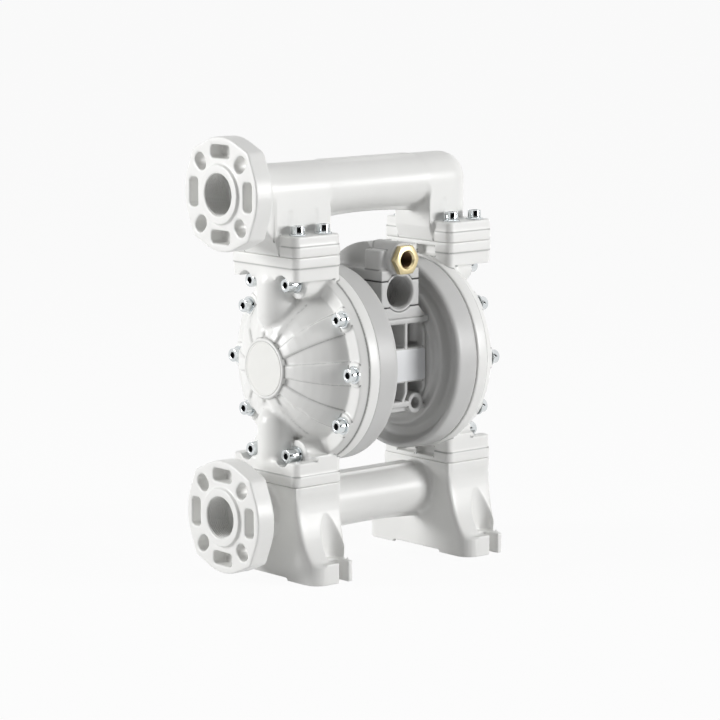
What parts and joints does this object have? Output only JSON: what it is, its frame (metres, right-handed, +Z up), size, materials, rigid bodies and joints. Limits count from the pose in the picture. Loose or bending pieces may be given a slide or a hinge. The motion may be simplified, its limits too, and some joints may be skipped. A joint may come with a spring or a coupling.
{
  "type": "air operated double diaphragm pump",
  "caption": "Air operated double diaphragm pump in white polypropylene, with flanged suction and discharge manifolds, ribbed chambers and a central air valve.",
  "frame": {"origin": "on the floor, half-way between the two chambers and in the plane of the shaft", "axes": "+X along the diaphragm shaft, away from the port flanges; -Y towards the side with the air inlet and the exhaust; +Z up"},
  "size_m": [0.3085, 0.193, 0.423],
  "materials": {
    "white_polypropylene": "moulded, slightly glossy",
    "grey_white_polypropylene": "moulded, satin",
    "zinc_plated_steel": "bright zinc plated",
    "plain_steel": "turned",
    "brass": "machined, pale",
    "dark_rubber": "matt",
    "white_ptfe": "satin",
    "plain_badge": "glossy, bare",
    "plain_plate": "satin, bare"
  },
  "bodies": {
    "casing": {"lower_manifold": "white_polypropylene", "upper_manifold": "white_polypropylene", "left_cover": "white_polypropylene", "right_cover": "white_polypropylene", "left_air_chamber": "grey_white_polypropylene", "right_air_chamber": "grey_white_polypropylene", "centre_body": "grey_white_polypropylene", "valve_base": "grey_white_polypropylene", "lower_gasket": "dark_rubber", "exhaust_block": "grey_white_polypropylene", "upper_gasket": "dark_rubber", "inlet_cap": "grey_white_polypropylene", "air_inlet_fitting": "brass", "spool_sleeve": "plain_steel", "spool_plugs": "grey_white_polypropylene", "valve_screws": "zinc_plated_steel", "nameplate": "plain_plate", "shaft_bushes": "white_ptfe", "shaft_seals": "dark_rubber", "suction_seat_left": "white_polypropylene", "suction_seat_right": "white_polypropylene", "discharge_seat_left": "white_polypropylene", "discharge_seat_right": "white_polypropylene", "suction_cage_left": "white_polypropylene", "suction_cage_right": "white_polypropylene", "discharge_cage_left": "white_polypropylene", "discharge_cage_right": "white_polypropylene", "seat_rings": "dark_rubber", "left_cover_screws": "zinc_plated_steel", "right_cover_screws": "zinc_plated_steel", "left_cover_washers": "zinc_plated_steel", "right_cover_washers": "zinc_plated_steel", "cover_inserts": "brass", "chamber_screws": "zinc_plated_steel", "upper_manifold_screws": "zinc_plated_steel", "upper_manifold_washers": "zinc_plated_steel", "lower_manifold_screws": "zinc_plated_steel", "lower_manifold_washers": "zinc_plated_steel", "left_badge": "plain_badge", "right_badge": "plain_badge"},
    "shaft_assembly": {"shaft": "plain_steel", "left_inner_plate": "plain_steel", "right_inner_plate": "plain_steel", "left_outer_plate": "white_polypropylene", "right_outer_plate": "white_polypropylene", "left_plate_screw": "white_polypropylene", "right_plate_screw": "white_polypropylene", "left_diaphragm": "white_ptfe", "right_diaphragm": "white_ptfe"},
    "spool": {"spool": "plain_steel"},
    "suction_ball_left": {"suction_ball_left": "white_ptfe"},
    "suction_ball_right": {"suction_ball_right": "white_ptfe"},
    "discharge_ball_left": {"discharge_ball_left": "white_ptfe"},
    "discharge_ball_right": {"discharge_ball_right": "white_ptfe"}
  },
  "joints": [
    {"name": "shaft_slide", "type": "slide", "parent": "casing", "child": "shaft_assembly", "axis": [1, 0, 0], "range_m": [-0.009, 0.009], "deforming": ["left_diaphragm", "right_diaphragm"]},
    {"name": "spool_slide", "type": "slide", "parent": "casing", "child": "spool", "axis": [1, 0, 0], "range_m": [0, 0.008]},
    {"name": "suction_lift_left", "type": "slide", "parent": "casing", "child": "suction_ball_left", "axis": [0, 0, 1], "range_m": [0, 0.005]},
    {"name": "suction_lift_right", "type": "slide", "parent": "casing", "child": "suction_ball_right", "axis": [0, 0, 1], "range_m": [0, 0.005]},
    {"name": "discharge_lift_left", "type": "slide", "parent": "casing", "child": "discharge_ball_left", "axis": [0, 0, 1], "range_m": [0, 0.005]},
    {"name": "discharge_lift_right", "type": "slide", "parent": "casing", "child": "discharge_ball_right", "axis": [0, 0, 1], "range_m": [0, 0.005]}
  ]
}
